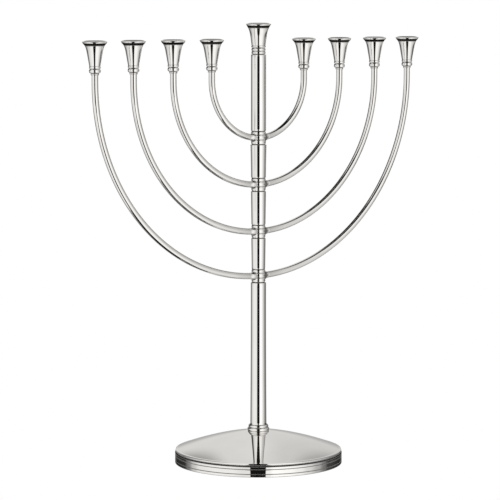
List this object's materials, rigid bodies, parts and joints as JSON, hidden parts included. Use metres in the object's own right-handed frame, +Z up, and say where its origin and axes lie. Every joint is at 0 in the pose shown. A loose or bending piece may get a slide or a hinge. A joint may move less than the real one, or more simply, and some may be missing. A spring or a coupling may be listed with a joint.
{
  "type": "menorah",
  "caption": "Candle lamp with a raised centre cup on a stacked stem, pairs of concentric quarter-circle arms that swivel about it, and a low domed foot with a reeded rim.",
  "frame": {"origin": "on the table, under the stem's axis", "axes": "+Z up the stem, +X along the arms towards the ones named right, +Y away from the front"},
  "size_m": [0.3716, 0.15, 0.3937],
  "materials": {
    "polished_silver": "mirror-polished silver plate on brass, with fine wipe marks",
    "steel": "plain machined steel",
    "cast_iron": "as cast",
    "felt": "pressed felt"
  },
  "bodies": {
    "stand": {"base_shell": "polished_silver", "base_ballast": "cast_iron", "base_plate": "steel", "felt_pad": "felt", "tie_rod": "steel", "rod_nut": "steel", "rod_washer": "steel", "base_knop": "polished_silver", "lower_stem": "polished_silver", "sleeve_1": "polished_silver", "sleeve_2": "polished_silver", "sleeve_3": "polished_silver", "upper_stem": "polished_silver", "centre_collar": "polished_silver", "centre_cup": "polished_silver"},
    "branch_inner": {"hub_inner": "polished_silver", "arm_inner_right": "polished_silver", "collar_inner_right": "polished_silver", "cup_inner_right": "polished_silver", "arm_inner_left": "polished_silver", "collar_inner_left": "polished_silver", "cup_inner_left": "polished_silver"},
    "branch_mid_inner": {"hub_mid_inner": "polished_silver", "arm_mid_inner_right": "polished_silver", "collar_mid_inner_right": "polished_silver", "cup_mid_inner_right": "polished_silver", "arm_mid_inner_left": "polished_silver", "collar_mid_inner_left": "polished_silver", "cup_mid_inner_left": "polished_silver"},
    "branch_mid_outer": {"hub_mid_outer": "polished_silver", "arm_mid_outer_right": "polished_silver", "collar_mid_outer_right": "polished_silver", "cup_mid_outer_right": "polished_silver", "arm_mid_outer_left": "polished_silver", "collar_mid_outer_left": "polished_silver", "cup_mid_outer_left": "polished_silver"},
    "branch_outer": {"hub_outer": "polished_silver", "arm_outer_right": "polished_silver", "collar_outer_right": "polished_silver", "cup_outer_right": "polished_silver", "arm_outer_left": "polished_silver", "collar_outer_left": "polished_silver", "cup_outer_left": "polished_silver"}
  },
  "joints": [
    {"name": "swivel_inner", "type": "hinge", "parent": "stand", "child": "branch_inner", "pos_m": [0, 0, 0.292], "axis": [0, 0, 1], "continuous": true},
    {"name": "swivel_mid_inner", "type": "hinge", "parent": "stand", "child": "branch_mid_inner", "pos_m": [0, 0, 0.2504], "axis": [0, 0, 1], "continuous": true},
    {"name": "swivel_mid_outer", "type": "hinge", "parent": "stand", "child": "branch_mid_outer", "pos_m": [0, 0, 0.2085], "axis": [0, 0, 1], "continuous": true},
    {"name": "swivel_outer", "type": "hinge", "parent": "stand", "child": "branch_outer", "pos_m": [0, 0, 0.1687], "axis": [0, 0, 1], "continuous": true}
  ]
}
